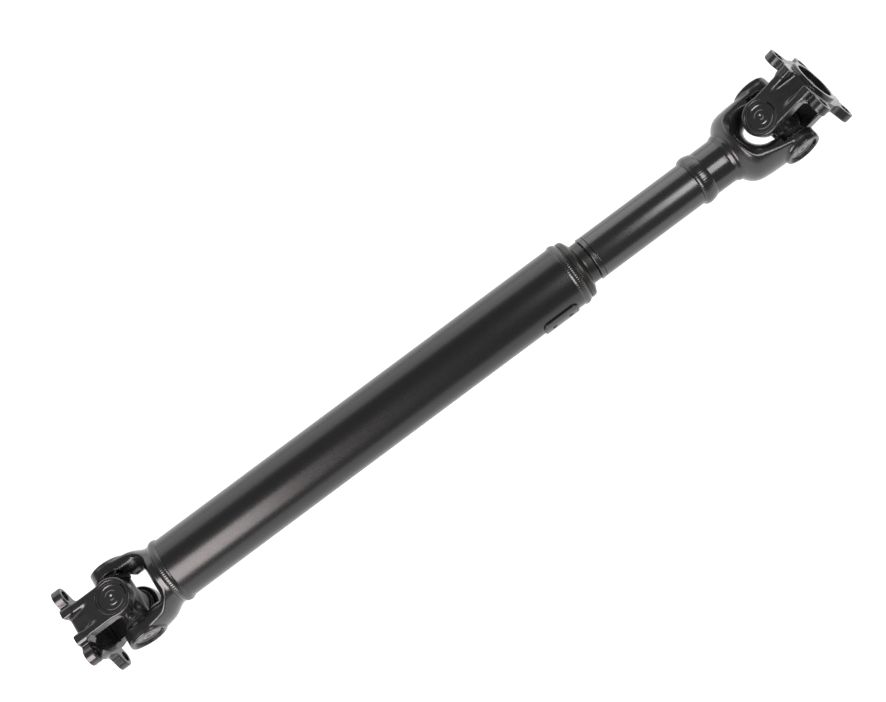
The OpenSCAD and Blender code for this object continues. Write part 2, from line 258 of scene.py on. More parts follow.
def swept_arc(section: Array, start: float, end: float, steps: int) -> Shell:
    """A closed section carried round the Z axis from one angle to another, with flat ends.

    Args:
        section: (radius, z) rows of the closed section, anticlockwise.
        start: First angle in degrees.
        end: Last angle in degrees.
        steps: Steps along the arc.

    Returns:
        The shell of an open ring.
    """
    t = np.radians(np.linspace(start, end, steps + 1))[:, None]
    r, z = section[None, :, 0], section[None, :, 1]
    grid = np.stack([r * np.cos(t), r * np.sin(t), z + 0 * t], -1)
    n = len(section)
    index = np.arange(grid.shape[0] * n).reshape(-1, n)
    a, b = index[:-1], index[1:]
    quads = np.stack([a, b, np.roll(b, -1, 1), np.roll(a, -1, 1)], -1).reshape(-1, 4)
    caps = [tuple(index[0].tolist()), tuple(index[-1][::-1].tolist())]
    return Shell(grid.reshape(-1, 3), [tuple(q) for q in quads.tolist()] + caps)


def meet(a: Array, b: Array, blend: float) -> Array:
    """Union of two solids, with a fillet of about the blend's size where they meet."""
    h = np.clip(0.5 + 0.5 * (b - a) / blend, 0, 1)
    return b + (a - b) * h - blend * h * (1 - h)


def within(a: Array, b: Array, blend: float) -> Array:
    """Overlap of two solids, with its new edge rounded by about the blend's size."""
    return -meet(-a, -b, blend)


def rectangle(u: Array, v: Array, half_u: float, half_v: float, corner: float = 0.0) -> Array:
    """Distance to a rectangle about the origin whose corners have the given radius."""
    du, dv = np.abs(u) - half_u + corner, np.abs(v) - half_v + corner
    outside = np.hypot(np.maximum(du, 0), np.maximum(dv, 0))
    return outside + np.minimum(np.maximum(du, dv), 0) - corner


def slab(v: Array, low: float, high: float) -> Array:
    """Distance to the space between two parallel planes."""
    return np.abs(v - (low + high) / 2) - (high - low) / 2


def slope(solid: Field, points: Array, reach: float = 0.04) -> Array:
    """Gradient of a solid's distance function, from differences over twice the reach."""
    steps = np.eye(3) * reach
    rise = [solid(*(points + s).T) - solid(*(points - s).T) for s in steps]
    return np.stack(rise, -1) / (2 * reach)


def beside(cell: Array, axes: Tuple[int, int], back: Tuple[int, int]) -> Array:
    """Grid cells moved back by whole cells along two axes."""
    moved = cell.copy()
    for axis, steps in zip(axes, back):
        moved[axis] -= steps
    return moved


def skin(solid: Field, low: Sequence[float], high: Sequence[float], step: float) -> Shell:
    """The surface where a solid's distance function is zero.

    The function is sampled on a cubic grid. Every cell that the surface crosses gets one
    vertex, at the mean of the crossings on its edges, and every crossed edge one quad
    between its four cells. The vertices are then moved onto the surface by Newton steps
    along the gradient, which also gives their exact normals.

    Args:
        solid: Distance function, negative inside, of x, y and z in millimetres.
        low: Lowest corner of the box that holds the solid.
        high: Highest corner of that box.
        step: Grid spacing.

    Returns:
        A closed shell of quads with exact normals.
    """
    axes = [np.arange(a, b + step, step) for a, b in zip(low, high)]
    grid = np.meshgrid(*axes, indexing="ij")
    value = solid(*[g.astype(np.float32) for g in grid])
    shape = np.array(value.shape)
    cells = shape - 1
    total = int(cells.prod())
    count = np.zeros(total)
    sums = [np.zeros(total) for _ in range(3)]
    crossed = []
    for a in range(3):
        b, c = (a + 1) % 3, (a + 2) % 3
        first = np.take(value, np.arange(shape[a] - 1), a)
        second = np.take(value, np.arange(1, shape[a]), a)
        ijk = np.array(np.nonzero((first < 0) != (second < 0)))
        v0, v1 = first[tuple(ijk)], second[tuple(ijk)]
        place = ijk.astype(float)
        place[a] += v0 / (v0 - v1)
        crossed.append(((b, c), ijk, v0 < 0))
        for back in ((0, 0), (0, 1), (1, 0), (1, 1)):
            cell = beside(ijk, (b, c), back)
            fine = np.all((cell >= 0) & (cell < cells[:, None]), 0)
            flat = np.ravel_multi_index(cell[:, fine], cells)
            count += np.bincount(flat, minlength=total)
            for k in range(3):
                sums[k] += np.bincount(flat, place[k, fine], minlength=total)
    live = np.nonzero(count)[0]
    number = np.full(total, -1)
    number[live] = np.arange(len(live))
    points = np.stack([s[live] / count[live] for s in sums], -1) * step
    points = points + np.array([a[0] for a in axes])
    quads = []
    for across, ijk, inward in crossed:
        corners = [
            number[np.ravel_multi_index(beside(ijk, across, back), cells, mode="clip")]
            for back in ((1, 1), (0, 1), (0, 0), (1, 0))
        ]
        quad = np.stack(corners, -1)
        quads.append(np.where(inward[:, None], quad, quad[:, ::-1]))
    longest = 0.4 * step
    for _ in range(4):
        g = slope(solid, points)
        far = solid(*points.T) / np.maximum((g**2).sum(-1), 0.05)
        points = points - g * np.clip(far, -longest, longest)[:, None]
    g = slope(solid, points)
    normals = g / np.maximum(np.linalg.norm(g, axis=1, keepdims=True), 1e-6)
    return Shell(points, [tuple(q) for q in np.vstack(quads).tolist()], normals)


def linked(name: str, data: bpy.types.ID) -> bpy.types.Object:
    """A new object that shows the given data, linked to the scene."""
    made = bpy.data.objects.new(name, data)
    bpy.context.scene.collection.objects.link(made)
    return made


def mesh_object(name: str, shell: Shell, crease: float) -> bpy.types.Object:
    """A Blender object at the origin from a shell in the row frame, in metres.

    Args:
        name: The object's name.
        shell: Its surface.
        crease: Edges sharper than this many degrees stay sharp where the shell has no
            exact normals.

    Returns:
        The object, linked to the scene.
    """
    data = bpy.data.meshes.new(name)
    data.from_pydata(shell.points.tolist(), [], shell.faces)
    data.polygons.foreach_set("use_smooth", np.ones(len(data.polygons), bool))
    if shell.normals is None:
        data.set_sharp_from_angle(angle=math.radians(crease))
    else:
        data.normals_split_custom_set_from_vertices(shell.normals.tolist())
    data.update()
    return linked(name, data)


# ---------------------------------------------------------------- materials


def linear(hex_colour: str) -> Tuple[float, float, float, float]:
    """An sRGB hex colour, such as "#1a1a1c", as linear RGBA."""
    srgb = np.array([int(hex_colour[i : i + 2], 16) for i in (1, 3, 5)]) / 255
    rgb = np.where(srgb <= 0.04045, srgb / 12.92, ((srgb + 0.055) / 1.055) ** 2.4)
    return (float(rgb[0]), float(rgb[1]), float(rgb[2]), 1.0)


def add_node(
    tree: bpy.types.NodeTree,
    kind: str,
    settings: Optional[Dict[str, object]] = None,
    links: Optional[Dict[object, bpy.types.NodeSocket]] = None,
) -> bpy.types.Node:
    """Adds a shader node.

    Args:
        tree: The material's node tree.
        kind: The node's type, without the ShaderNode prefix.
        settings: Values by input name, or by attribute name for what isn't an input.
        links: Output sockets by the input's name or number.

    Returns:
        The new node.
    """
    made = tree.nodes.new("ShaderNode" + kind)
    for key, value in (settings or {}).items():
        if key in made.inputs:
            made.inputs[key].default_value = value
        else:
            setattr(made, key, value)
    for key, socket in (links or {}).items():
        tree.links.new(socket, made.inputs[key])
    return made


# Mesh attribute that is 1 on machined faces and 0 elsewhere.
MACHINED = "machined"
# Sockets of a Mix node that is set to colours.
MIX_FACTOR, MIX_A, MIX_B, MIX_RESULT = 0, 6, 7, 2
# Dust on the enamel: its spacing in millimetres, and its colour.
DUST_SPACING, DUST_COLOUR = 1.6, "#77767a"


@dataclass(frozen=True)
class Finish:
    """A surface: what is on the steel, how glossy it is, and what its relief looks like.

    Every length is in millimetres. The colour wanders between colour and second, and the
    roughness by spread either way. grain is the relief's fine wavelength and lumps its
    coarse one; relief and relief_lumps are their heights. stretch makes both longer along
    the shaft, as drawing does. specks is how strongly dust shows, and faced the roughness
    where a mesh marks itself as machined.
    """

    name: str
    colour: str
    second: str
    roughness: float
    spread: float = 0.05
    metallic: float = 0.0
    grain: float = 0.8
    lumps: float = 6.0
    relief: float = 0.02
    relief_lumps: float = 0.05
    stretch: float = 1.0
    specular: float = 0.5
    specks: float = 0.0
    faced: float = 0.14

    def build(self) -> bpy.types.Material:
        """The Blender material.

        Returns:
            A material with colour, roughness and relief from noise on object coordinates.
        """
        material = bpy.data.materials.new(self.name)
        material.use_nodes = True
        tree = material.node_tree
        tree.nodes.clear()
        place = add_node(tree, "TexCoord").outputs["Object"]
        along = add_node(
            tree, "Mapping", {"Scale": (1 / self.stretch, 1.0, 1.0)}, {"Vector": place}
        ).outputs["Vector"]
        fine, coarse = (
            add_node(
                tree,
                "TexNoise",
                {"Scale": 1 / (size * MM), "Detail": detail, "Roughness": rough},
                {"Vector": along},
            )
            for size, detail, rough in ((self.grain, 3.0, 0.6), (self.lumps, 4.0, 0.55))
        )
        tone = add_node(
            tree, "Mix", {"data_type": "RGBA"}, {MIX_FACTOR: coarse.outputs["Fac"]}
        )
        tone.inputs[MIX_A].default_value = linear(self.colour)
        tone.inputs[MIX_B].default_value = linear(self.second)
        colour = tone.outputs[MIX_RESULT]
        if self.specks > 0:
            dust = add_node(
                tree,
                "TexNoise",
                {"Scale": 1 / (DUST_SPACING * MM), "Detail": 2.0},
                {"Vector": place},
            )
            cut = add_node(
                tree,
                "MapRange",
                {"From Min": 0.70, "From Max": 0.76, "To Min": 0.0, "To Max": self.specks},
                {"Value": dust.outputs["Fac"]},
            )
            dusty = add_node(
                tree,
                "Mix",
                {"data_type": "RGBA"},
                {MIX_FACTOR: cut.outputs["Result"], MIX_A: colour},
            )
            dusty.inputs[MIX_B].default_value = linear(DUST_COLOUR)
            colour = dusty.outputs[MIX_RESULT]
        gloss = add_node(
            tree,
            "MapRange",
            {
                "From Min": 0.3,
                "From Max": 0.7,
                "To Min": self.roughness - self.spread,
                "To Max": self.roughness + self.spread,
            },
            {"Value": fine.outputs["Fac"]},
        )
        machined = add_node(tree, "Attribute", {"attribute_name": MACHINED}).outputs["Fac"]
        rough = add_node(
            tree,
            "MapRange",
            {"To Max": self.faced},
            {"Value": machined, "To Min": gloss.outputs["Result"]},
        )
        flat = add_node(
            tree, "MapRange", {"To Min": 1.0, "To Max": 0.05}, {"Value": machined}
        ).outputs["Result"]
        under: Dict[object, bpy.types.NodeSocket] = {}
        for noise, height in ((coarse, self.relief_lumps), (fine, self.relief)):
            links = {"Height": noise.outputs["Fac"], "Strength": flat, **under}
            bump = add_node(tree, "Bump", {"Distance": height * MM}, links)
            under = {"Normal": bump.outputs["Normal"]}
        shader = add_node(
            tree,
            "BsdfPrincipled",
            {"Metallic": self.metallic, "Specular IOR Level": self.specular},
            {"Base Color": colour, "Roughness": rough.outputs["Result"], **under},
        )
        add_node(tree, "OutputMaterial", {}, {"Surface": shader.outputs["BSDF"]})
        return material


class Coat(Enum):
    """The finishes on this shaft."""

    # Black chassis enamel sprayed over drawn steel tube: satin, with a faint orange peel
    # of about 2 mm and draw lines that run along the tube.
    TUBE = Finish(
        "satin_black_enamel_on_drawn_tube", "#111113", "#161618", 0.28, 0.02, grain=1.6,
        lumps=14.0, relief=0.004, relief_lumps=0.015, stretch=3.0, specks=0.04,
    )
    # The same enamel over turned tube of smaller bore: smoother, so glossier.
    SLEEVE = Finish(
        "black_enamel_on_turned_sleeve", "#0f0f11", "#131315", 0.26, 0.02, grain=1.6,
        lumps=10.0, relief=0.003, relief_lumps=0.01, stretch=2.0, specular=0.85, specks=0.03,
    )
    # Enamel over hammer-forged steel: scale pits of 1 to 2 mm and broad lumps under it.
    FORGED = Finish(
        "black_enamel_on_forged_steel", "#131315", "#1b1b1d", 0.26, 0.05, grain=1.3,
        lumps=7.0, relief=0.014, relief_lumps=0.07, specular=0.7, specks=0.12,
    )
    # Enamel over a weld bead: glossy crowns, fine spatter.
    WELD = Finish(
        "black_enamel_on_weld_bead", "#121214", "#19191b", 0.22, 0.05, grain=0.9,
        lumps=4.0, relief=0.015, relief_lumps=0.05, specular=0.75,
    )
    # Thin overspray on hardened, ground bearing cups: smooth and finely turned.
    CUP = Finish(
        "thin_black_on_ground_bearing_steel", "#181819", "#1e1e1f", 0.18, 0.03, grain=0.7,
        lumps=5.0, relief=0.003, relief_lumps=0.008, specular=0.85,
    )
    # Phosphated spring steel: dull, even grey.
    RING = Finish(
        "phosphated_spring_steel", "#161617", "#1d1d1e", 0.42, 0.05, grain=0.6,
        lumps=3.0, relief=0.01, relief_lumps=0.01,
    )
    # Forged cross with ground journals, blackened: dull, with the forging's skin.
    CROSS = Finish(
        "blackened_cross_forging", "#161617", "#212121", 0.40, 0.08, grain=1.2,
        lumps=5.0, relief=0.03, relief_lumps=0.10,
    )
    # Moulded nitrile rubber, matte with a slight bloom.
    RUBBER = Finish(
        "moulded_nitrile_rubber", "#111111", "#191918", 0.62, 0.06, grain=0.5,
        lumps=4.0, relief=0.012, relief_lumps=0.02,
    )
    # Stub neck with an olive-brown film of assembly grease over thin paint.
    GREASED = Finish(
        "black_enamel_on_turned_stub", "#151513", "#1d1c18", 0.32, 0.05, grain=0.8,
        lumps=5.0, relief=0.006, relief_lumps=0.02,
    )
    # Zinc-plated nipple under black overspray.
    NIPPLE = Finish(
        "oversprayed_zinc_nipple", "#262626", "#343433", 0.34, 0.06, 0.3, 0.6,
        lumps=2.0, relief=0.01, relief_lumps=0.01,
    )
    # Ground chrome steel of the needle rollers.
    ROLLER = Finish(
        "ground_chrome_steel", "#b9b9bb", "#c8c8ca", 0.16, 0.03, 1.0, 0.5,
        lumps=3.0, relief=0.002, relief_lumps=0.004,
    )
    # Hobbed spline flanks, bright steel with a film of grease.
    SPLINE = Finish(
        "greased_hobbed_steel", "#6e6a62", "#827e76", 0.30, 0.06, 1.0, 0.6,
        lumps=3.0, relief=0.006, relief_lumps=0.01, stretch=4.0,
    )


_MADE: Dict[Coat, bpy.types.Material] = {}


def material(coat: Coat) -> bpy.types.Material:
    """The material of a finish, built the first time it is asked for."""
    if coat not in _MADE:
        _MADE[coat] = coat.value.build()
    return _MADE[coat]


@dataclass(frozen=True)
class Piece:
    """Where a finished piece belongs: its body, its record slot (not used here) and what it
    stands for.
    """

    name: str
    body: str
    slot: str
    coat: Coat
    replaces: Tuple[str, ...] = ()

    def add(
        self,
        shell: Shell,
        place: Placement = ALONG,
        crease: float = 32.0,
        machined: Optional[Array] = None,
    ) -> bpy.types.Object:
        """Makes the piece.

        Args:
            shell: Its surface in its own millimetres.
            place: The move from there to the row frame.
            crease: The angle above which an edge stays sharp, in degrees.
            machined: How machined the surface is at each point, 0 to 1, if it is anywhere.

        Returns:
            The object, riding on its body.
        """
        piece = mesh_object(self.name, shell.moved(place), crease)
        piece.data.materials.append(material(self.coat))
        if machined is not None:
            mark = piece.data.attributes.new(MACHINED, "FLOAT", "POINT")
            mark.data.foreach_set("value", machined.astype(np.float32))
        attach(piece, self.body)
        if self.replaces:
            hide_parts(*self.replaces)
        LOG.info("%s: %d faces on %s", self.name, len(shell.faces), self.body)
        return piece


def keep_cad(node: str, coat: Coat) -> None:
    """Gives a CAD node, whose shape is right as it is, the material of a finish."""
    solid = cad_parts[node]
    solid.data.materials.clear()
    solid.data.materials.append(material(coat))
    LOG.info("%s: CAD solid, %s", node, coat.value.name)


# ---------------------------------------------------------------- yokes


@dataclass
class Ears:
    """The two ears of any yoke, on the Z axis about the joint's centre."""

    radius: float = 18.4
    half_width: float = 17.2
    groove_radius: float = 15.6
    groove_width: float = 1.2
    chamfer: float = 1.0

    def bosses(self, x: Array, y: Array, z: Array) -> Array:
        """Distance to both bosses: upright cylinders between the inner and outer faces."""
        return within(np.hypot(x, y) - self.radius, slab(np.abs(z), EAR_IN, EAR_OUT), 1.6)

    def bored(self, solid: Array, x: Array, y: Array, z: Array) -> Array:
        """A solid less the cups' bores, their chamfers and the snap ring grooves."""
        r = np.hypot(x, y)
        solid = within(solid, CUP_R - r, 0.5)
        chamfer = (r - CUP_R - self.chamfer + (EAR_OUT - np.abs(z))) * 0.7071
        solid = np.maximum(solid, -chamfer)
        band = slab(np.abs(z), CUP_OUT, CUP_OUT + self.groove_width)
        return np.maximum(solid, -np.maximum(r - self.groove_radius, band))


class Pilot(Enum):
    """How a flange is centred on its mate."""

    RECESS = "recess"
    SPIGOT = "spigot"


@dataclass
class FlangeYoke:
    """Forged flange and fork: mating face at x = -REACH, trunnions along Z.

    The root thickens each arm where it leaves the flange. The relief is the sloping
    pocket cut down the outside of each arm. A spigot has a shallow hollow in it, and a
    recess a deeper well behind it.
    """

    pilot: Pilot
    ears: Ears = field(default_factory=Ears)
    thickness: float = 9.5
    waist: float = 31.0
    rim: float = 42.5
    bolt_circle: float = 44.0  # its radius
    bolt_r: float = 5.25
    lobe_r: float = 9.5
    pilot_r: float = 25.0
    pilot_h: float = 3.0
    hollow_r: float = 20.5
    hollow_depth: float = 3.5
    well_r: float = 20.0
    well_depth: float = 7.0
    root_x: float = 41.5
    root_half: float = 6.3
    root_reach: Tuple[float, float] = (23.0, 39.4)
    relief_half: float = 8.8
    relief_from: float = 24.6
    relief_slope: float = 29.0

    def plan(self, y: Array, z: Array) -> Array:
        """Distance to the flange's outline: a round waist, a wider rim at the arms and
        four straight-sided lobes at 45 degrees, all met with fillets."""
        r = np.hypot(y, z)
        u = (np.abs(y) + np.abs(z)) * math.sqrt(0.5)
        v = (np.abs(y) - np.abs(z)) * math.sqrt(0.5)
        lobe = np.hypot(v, np.maximum(u - self.bolt_circle, 0)) - self.lobe_r
        arms = within(r - self.rim, np.abs(y) - self.ears.half_width - 1.4, 1.5)
        return meet(meet(r - self.waist, arms, 3.0), lobe, 6.0)

    def solid(self, x: Array, y: Array, z: Array) -> Array:
        """Distance function of the whole forging."""
        u = x + REACH
        far = np.abs(z)
        disc = within(within(self.plan(y, z), -u, 0.7), u - self.thickness, 1.8)
        half = REACH / 2
        straight = rectangle(x + half, y, half, self.ears.half_width)
        arm_plan = meet(straight, np.hypot(x, y) - self.ears.radius, 1.0)
        arm = within(arm_plan, slab(far, EAR_IN, EAR_OUT), 1.7)
        foot = rectangle(x + self.root_x, y, self.root_half, self.ears.half_width + 1.2, 1.0)
        root = within(foot, slab(far, *self.root_reach), 1.5)
        body = within(meet(disc, meet(arm, root, 2.5), 3.6), -u, 0.7)
        lean = math.radians(self.relief_slope)
        past = x + REACH - self.relief_from
        ramp = (far - EAR_OUT) * math.cos(lean) - past * math.sin(lean)
        relief = within(np.abs(y) - self.relief_half, -ramp, 3.0)
        body = within(body, -relief, 3.2)
        body = self.ears.bored(body, x, y, z)
        bolt = self.bolt_circle * math.sqrt(0.5)
        hole = np.hypot(np.abs(y) - bolt, far - bolt)
        body = within(body, self.bolt_r - hole, 0.6)
        r = np.hypot(y, z)
        if self.pilot is Pilot.SPIGOT:
            ring = within(r - self.pilot_r, slab(u, -self.pilot_h, 2.0), 0.7)
            body = meet(body, ring, 0.4)
            hollow = within(r - self.hollow_r, u - self.hollow_depth, 1.2)
            return within(body, -hollow, 0.7)
        recess = np.maximum(r - self.pilot_r - 0.05, u - self.pilot_h)
        well = within(r - self.well_r, u - self.well_depth, 1.5)
        return within(within(body, -recess, 0.5), -well, 0.7)

    def add(self, name: str, body: str, node: str, place: Placement) -> None:
        """Makes the forging.

        Args:
            name: The object's name.
            body: The body it rides on.
            node: The CAD node it stands for.
            place: The move from its own frame to the row frame.
        """
        shell = skin(self.solid, (-REACH - 5, -44, -46), (20.5, 44, 46), 0.8)
        depth, near = shell.points[:, 0] + REACH, 0.15
        machined = (np.abs(depth) < near) | (np.abs(depth + self.pilot_h) < near)
        piece = Piece(name, body, "forging_paint", Coat.FORGED, (node,))
        piece.add(shell, place, machined=machined)


# A distance well inside a solid, and how far in front of the trunnions, where there is
# nothing left of the yoke, the slot between its arms still runs. Both in millimetres.
DEEP, OPEN_PAST = 20.0, 60


@dataclass
class ShaftYoke:
    """Fork on the shaft's side: trunnions along Z, shaft towards +X.

    The outside is an outline spun about X, cut by flat arm sides that lean out to the
    half width wide and then flare to the full round over a quarter circle. The opening
    between the arms is a rounded slot whose surface is rolled: it swells by rise towards
    the forging's parting plane.
    """

    stations: Tuple[Tuple[float, float], ...]
    flare_from: float
    flare_r: float
    throat_x: float
    throat_r: float
    length: float
    bore_r: float
    bore_from: float
    rise: float
    wide: float
    turned_from: float
    seal_room: float = 19.0
    ears: Ears = field(default_factory=Ears)

    def outline(self, x: Array) -> Array:
        """Outer radius at x: straight between the stations, eased by a 3.2 mm window."""
        sx, sr = np.array(self.stations).T
        offsets = (-1.6, -0.8, 0.0, 0.8, 1.6)  # in mm, about the point asked for
        return sum(np.interp(x + o, sx, sr) for o in offsets) / len(offsets)

    def solid(self, x: Array, y: Array, z: Array) -> Array:
        """Distance function of the whole forging."""
        grade = self.outline(x + 0.5) - self.outline(x - 0.5)
        spun = (np.hypot(y, z) - self.outline(x)) * (1 / np.sqrt(1 + grade**2))
        over = np.clip(x - self.flare_from, 0, self.flare_r * 0.98)
        drop = np.sqrt(self.flare_r**2 - over**2)
        lean_out = (self.wide - self.ears.half_width) * np.clip(x / self.flare_from, 0, 1)
        side = self.ears.half_width + lean_out + self.flare_r - drop
        sides = (np.abs(y) - side) * np.clip(drop / self.flare_r, 0.25, 1)
        past = self.flare_from + self.flare_r
        sides = np.where(x > past - 0.3, -DEEP - 0 * x, sides)
        arms = within(within(spun, sides, 2.2), -x, 1.0)
        arms = within(arms, x - self.length, 0.8)
        tips = within(np.hypot(x, y) - self.ears.radius, spun, 2.0)
        body = meet(meet(arms, tips, 1.0), self.ears.bosses(x, y, z), 2.2)
        half = (self.throat_x + OPEN_PAST) / 2
        throat = rectangle(x - self.throat_x + half, z, half, EAR_IN, self.throat_r)
        swell_r = (self.rise**2 + self.wide**2) / (2 * self.rise)
        swell = np.sqrt(np.maximum(swell_r**2 - y**2, 1.0)) - swell_r + self.rise
        steep = np.sqrt(np.clip(1 - (y / swell_r) ** 2, 0.2, 1))
        rolled = (throat + np.maximum(swell, 0)) * steep
        room = within(np.hypot(x, y) - self.seal_room, np.abs(z) - EAR_IN, 0.8)
        body = within(body, -meet(rolled, room, 1.5), 1.5)
        body = self.ears.bored(body, x, y, z)
        bore = np.maximum(np.hypot(y, z) - self.bore_r, self.bore_from - x)
        return np.maximum(body, -bore)

    def add(self, name: str, body: str, node: str, place: Placement, step: float) -> None:
        """Makes the forging, with its barrel marked as half machined.

        Args:
            name: The object's name.
            body: The body it rides on.
            node: The CAD node it stands for.
            place: The move from its own frame to the row frame.
            step: The grid's step in millimetres.
        """
        wide = max(r for _, r in self.stations) + 2
        shell = skin(self.solid, (-20.5, -wide, -42.5), (self.length + 1.5, wide, 42.5), step)
        barrel = 0.6 * (shell.points[:, 0] > self.turned_from)
        piece = Piece(name, body, "forging_paint", Coat.FORGED, (node,))
        piece.add(shell, place, machined=barrel)


TUBE_YOKE = ShaftYoke(
    stations=(
        (-30, 41.2), (10, 41.2), (20, 39.8), (27, 38.4), (31, 36.8), (35, 34.4), (39, 32.2),
        (42, 31.3), (60, 31.3),
    ),
    flare_from=24,
    flare_r=14,
    throat_x=40,
    throat_r=13,
    length=50,
    bore_r=23,
    bore_from=52,
    rise=10,
    wide=17.2,
    turned_from=42,
)
SLIP_YOKE = ShaftYoke(
    stations=(
        (-30, 38.4), (22, 38.4), (34, 38.0), (42, 37.2), (47, 36.0), (51, 33.8), (54, 30.8),
        (56.5, 27.4), (58, 25.0), (59.4, 25.4), (61.4, 25.2), (63.2, 23.4), (67, 23.2),
        (110, 23.2),
    ),
    flare_from=36,
    flare_r=18,
    throat_x=47.6,
    throat_r=27.7,
    length=96.4,
    bore_r=17.8,
    bore_from=60,
    rise=13,
    wide=24.7,
    turned_from=63,
    seal_room=24,
)


# ---------------------------------------------------------------- crosses and bearings


@dataclass
class Spider:
    """Forged cross: four shouldered journals on a square hub, with a nipple boss."""

    hub_r: float = 12.4
    hub_out: float = 20.4
    journal_r: float = 9.0
    journal_out: float = 35.8
    block_half: float = 14.5
    block_thick: float = 10.5
    boss_r: float = 5.6
    boss_out: float = 19.0

    def solid(self, x: Array, y: Array, z: Array) -> Array:
        """Distance function of the cross."""
        hubs = meet(
            within(np.hypot(x, y) - self.hub_r, np.abs(z) - self.hub_out, 1.4),
            within(np.hypot(x, z) - self.hub_r, np.abs(y) - self.hub_out, 1.4),
            4.0,
        )
        u, v = (y + z) * math.sqrt(0.5), (z - y) * math.sqrt(0.5)
        square = rectangle(u, v, self.block_half, self.block_half, 3.0)
        block = within(square, np.abs(x) - self.block_thick, 2.5)
        boss = within(np.hypot(x, u) - self.boss_r, slab(v, 0, self.boss_out), 1.0)
        body = meet(meet(hubs, block, 3.0), boss, 2.5)
        journals = np.minimum(
            within(np.hypot(x, y) - self.journal_r, np.abs(z) - self.journal_out, 0.6),
            within(np.hypot(x, z) - self.journal_r, np.abs(y) - self.journal_out, 0.6),
        )
        return meet(body, journals, 0.8)

    def shell(self, step: float) -> Shell:
        """The cross's surface on a grid of the given step."""
        return skin(self.solid, (-14, -37, -37), (14, 37, 37), step)


@dataclass
class Bearing:
    """Cup, seal and snap ring of one trunnion, about the joint's centre.

    The cup and the seal are drawn along +X and the snap ring along +Z.
    """

    def cup(self) -> Shell:
        """The cup: a turned outline with a rim, a shallow ring and a centre dimple."""
        corners = [
            (CUP_OUT - 0.8, 0.0, 0), (CUP_OUT - 0.8, 1.3, 0.5), (CUP_OUT, 2.9, 0.8),
            (CUP_OUT, 6.0, 0.5), (CUP_OUT - 0.4, 7.0, 0.5), (CUP_OUT - 0.4, 10.6, 0.5),
            (CUP_OUT, 11.6, 0.5), (CUP_OUT, CUP_R - 0.9, 0.5), (CUP_OUT - 1.0, CUP_R, 0.6),
            (CUP_IN, CUP_R, 0.4), (CUP_IN, 11.6, 0.4), (CUP_OUT - 2.6, 11.54, 0.6),
            (CUP_OUT - 2.6, 0.0, 0),
        ]
        return lathed(corners, 112, 4, closed=False)

    def seal(self) -> Shell:
        """The lip seal at the journal's root: a closed section with two lips."""
        corners = [
            (20.4, 9.0, 0), (20.4, 12.9, 0.4), (21.1, 13.8, 0.4), (21.9, 13.8, 0.3),
            (22.3, 13.2, 0.3), (23.0, 14.3, 0.3), (23.8, 14.3, 0.3), (23.8, 9.0, 0),
        ]
        return lathed(corners, 96, 4)

    def snap_ring(self) -> Shell:
        """The snap ring: a flat section with soft edges, open for a ninth of its turn."""
        low, high = CUP_OUT + 0.02, CUP_OUT + 1.15
        inner, outer, soft = 13.25, 15.5, 0.2
        section = [
            (inner, low), (outer, low), (outer, high - soft), (outer - soft, high),
            (inner + soft, high), (inner, high - soft),
        ]
        return swept_arc(np.array(section), 22, 338, 120)


def to_trunnions(shell: Shell, directions: Sequence[Array]) -> Shell:
    """A piece repeated at several trunnions.

    Args:
        shell: The piece about the joint's centre, without exact normals.
        directions: One rotation matrix for each place.

    Returns:
        The copies as one shell, still in millimetres.
    """
    return joined([Shell(shell.points @ d.T, shell.faces) for d in directions])


X_TO_Z = rotation("y", -90)
Z_UP, Z_DOWN = np.eye(3), rotation("x", 180)
Y_LEFT, Y_RIGHT = rotation("x", -90), rotation("x", 90)


